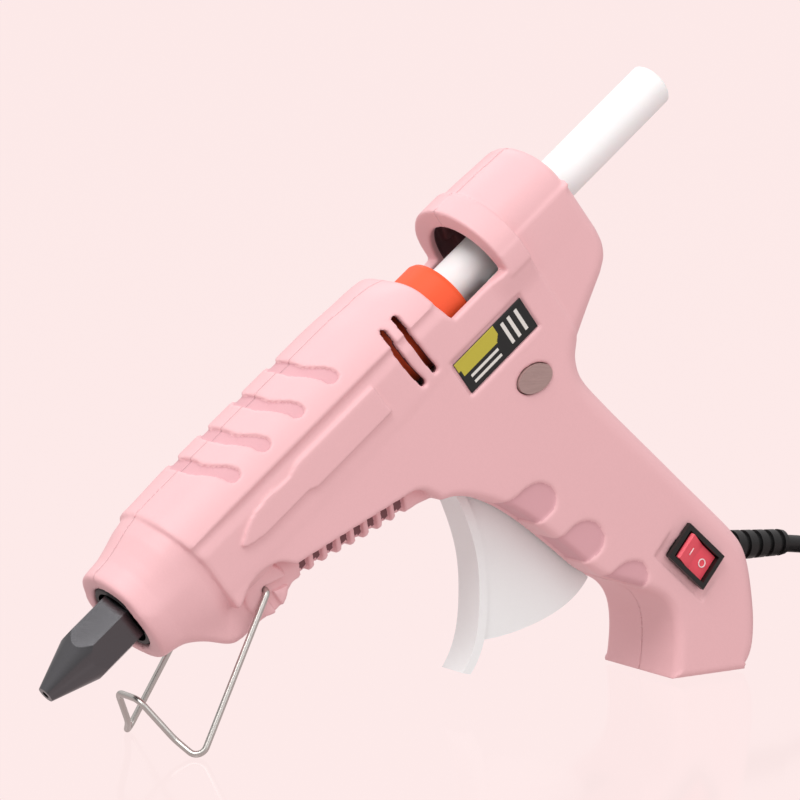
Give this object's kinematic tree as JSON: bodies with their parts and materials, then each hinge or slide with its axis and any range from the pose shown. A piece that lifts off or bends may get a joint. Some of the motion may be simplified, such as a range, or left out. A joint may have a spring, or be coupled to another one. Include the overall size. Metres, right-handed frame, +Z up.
{
  "type": "glue gun",
  "caption": "Trigger-fed hot-melt glue gun with steel nozzle, glue stick, folding wire stand, rocker switch and mains cord with plug",
  "frame": {"origin": "On the ground plane under the middle of the standing gun's box, cord left out", "axes": "+X towards the handle and the cord, nozzle points to -X and down, +Y to the gun's right, +Z up"},
  "size_m": [0.374, 0.0363, 0.1482],
  "materials": {
    "pink_plastic": "fine matt moulded ABS",
    "zinc_steel": "bright zinc plate",
    "nozzle_steel": "turned steel, polished",
    "black_silicone": "matt heat-proof ring",
    "cast_aluminium": "die cast",
    "amber_film": "polyimide film",
    "brass_strip": "rolled strip",
    "ptc_ceramic": "fired ceramic",
    "phenolic": "pressed phenolic",
    "orange_silicone": "satin silicone",
    "hot_melt": "translucent EVA",
    "white_plastic": "satin moulded",
    "nylon": "natural nylon",
    "cam_steel": "hardened",
    "spring_steel": "drawn wire",
    "black_plastic": "moulded",
    "red_plastic": "moulded",
    "window_plastic": "textured window",
    "lamp_glass": "clear",
    "label_film": "printed film",
    "brown_wire": "insulated wire",
    "white_wire": "insulated wire",
    "blue_wire": "insulated wire",
    "black_rubber": "moulded rubber",
    "plated_brass": "nickel plate"
  },
  "bodies": {
    "casing": {"left_shell": "pink_plastic", "right_shell": "pink_plastic", "casing_screws": "zinc_steel", "nozzle": "nozzle_steel", "nozzle_insulating_ring": "black_silicone", "melt_chamber": "cast_aluminium", "heater_insulation": "amber_film", "heater_electrodes": "brass_strip", "ptc_heater": "ptc_ceramic", "front_chamber_support": "phenolic", "rear_chamber_support": "phenolic", "inlet_sleeve": "orange_silicone", "sleeve_clip": "zinc_steel", "trigger_pivot_pin": "zinc_steel", "return_spring": "spring_steel", "switch_body": "black_plastic", "switch_terminals": "brass_strip", "indicator_lens": "window_plastic", "indicator_lamp": "lamp_glass", "label_plate": "label_film", "live_wire": "brown_wire", "heater_wire": "white_wire", "neutral_wire": "blue_wire", "strain_relief": "black_rubber", "cord_inner_end": "black_rubber", "cord_coil": "black_rubber", "power_cord": "black_rubber", "plug_body": "black_plastic", "plug_pins": "plated_brass", "cord_clamp": "white_plastic", "clamp_screws": "zinc_steel"},
    "trigger": {"trigger": "white_plastic", "link_pin": "zinc_steel"},
    "carriage": {"feed_carriage": "nylon", "cam_pin": "zinc_steel"},
    "cam": {"grip_cam": "cam_steel"},
    "stick": {"glue_stick": "hot_melt"},
    "stand": {"wire_stand": "spring_steel"},
    "rocker": {"switch_rocker": "red_plastic"}
  },
  "joints": [
    {"name": "trigger_pull", "type": "hinge", "parent": "casing", "child": "trigger", "pos_m": [0.01095, 0, 0.0552], "axis": [0, -1, 0], "range_deg": [0, 24], "stiffness_Nm_per_rad": 0.06},
    {"name": "carriage_feed", "type": "slide", "parent": "casing", "child": "carriage", "axis": [-0.7923, 0, -0.6101], "range_m": [0, 0.0084], "deforming": ["return_spring"]},
    {"name": "stick_feed", "type": "slide", "parent": "casing", "child": "stick", "axis": [-0.7923, 0, -0.6101], "range_m": [0, 0.0084]},
    {"name": "cam_release", "type": "hinge", "parent": "carriage", "child": "cam", "pos_m": [0.03111, 0, 0.09571], "axis": [0, -1, 0], "range_deg": [0, 15], "stiffness_Nm_per_rad": 0.01},
    {"name": "stand_fold", "type": "hinge", "parent": "casing", "child": "stand", "pos_m": [-0.04522, 0, 0.03504], "axis": [0, -1, 0], "range_deg": [0, 139]},
    {"name": "switch_rock", "type": "hinge", "parent": "casing", "child": "rocker", "pos_m": [0.0748, -0.0128, 0.03079], "axis": [-0.6531, 0, -0.7573], "range_deg": [0, 20]}
  ],
  "couplings": [
    {"joint": "carriage_feed", "follows": "trigger_pull", "m_per_rad": 0.01985},
    {"joint": "stick_feed", "follows": "trigger_pull", "m_per_rad": 0.01985}
  ]
}
